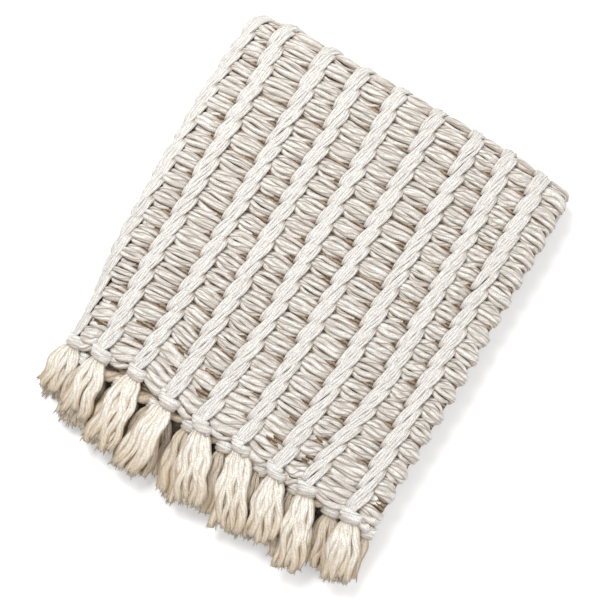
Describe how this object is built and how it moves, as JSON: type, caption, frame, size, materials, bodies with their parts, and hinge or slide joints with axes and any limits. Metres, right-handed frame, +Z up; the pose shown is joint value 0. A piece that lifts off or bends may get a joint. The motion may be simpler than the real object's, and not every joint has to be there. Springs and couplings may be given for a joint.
{
  "type": "basketweave throw",
  "caption": "Chunky cream basketweave throw, folded in a neat stack of plies with raised ribs along it and a knotted tassel at the end of each rib.",
  "frame": {"origin": "on the floor, under the middle of the folded throw's box, tassels included", "axes": "+Z up; +Y along the ribs, from the tasselled hems towards the rounded end fold; +X across the ribs, from the free edge towards the side fold"},
  "size_m": [0.6876, 0.8532, 0.0885],
  "materials": {
    "woven_yarn": "thick soft matt cream yarn, woven",
    "tassel_yarn": "thick soft matt cream yarn, loose strands with a wrapped knot"
  },
  "bodies": {
    "root": {"tassel_base_00": "tassel_yarn", "tassel_base_01": "tassel_yarn", "tassel_base_02": "tassel_yarn", "tassel_base_03": "tassel_yarn", "tassel_base_04": "tassel_yarn", "tassel_base_05": "tassel_yarn", "tassel_base_06": "tassel_yarn", "tassel_base_07": "tassel_yarn", "tassel_base_08": "tassel_yarn", "tassel_base_09": "tassel_yarn", "tassel_base_10": "tassel_yarn", "tassel_base_11": "tassel_yarn", "tassel_base_12": "tassel_yarn", "tassel_base_13": "tassel_yarn", "tassel_base_14": "tassel_yarn", "tassel_base_15": "tassel_yarn", "tassel_base_16": "tassel_yarn", "tassel_base_17": "tassel_yarn", "tassel_top_00": "tassel_yarn", "tassel_top_01": "tassel_yarn", "tassel_top_02": "tassel_yarn", "tassel_top_03": "tassel_yarn", "tassel_top_04": "tassel_yarn", "tassel_top_05": "tassel_yarn", "tassel_top_06": "tassel_yarn", "tassel_top_07": "tassel_yarn", "tassel_top_08": "tassel_yarn", "tassel_top_09": "tassel_yarn", "tassel_top_10": "tassel_yarn", "tassel_top_11": "tassel_yarn", "tassel_top_12": "tassel_yarn", "tassel_top_13": "tassel_yarn", "tassel_top_14": "tassel_yarn", "tassel_top_15": "tassel_yarn", "tassel_top_16": "tassel_yarn", "tassel_top_17": "tassel_yarn", "throw": "woven_yarn"}
  },
  "joints": []
}
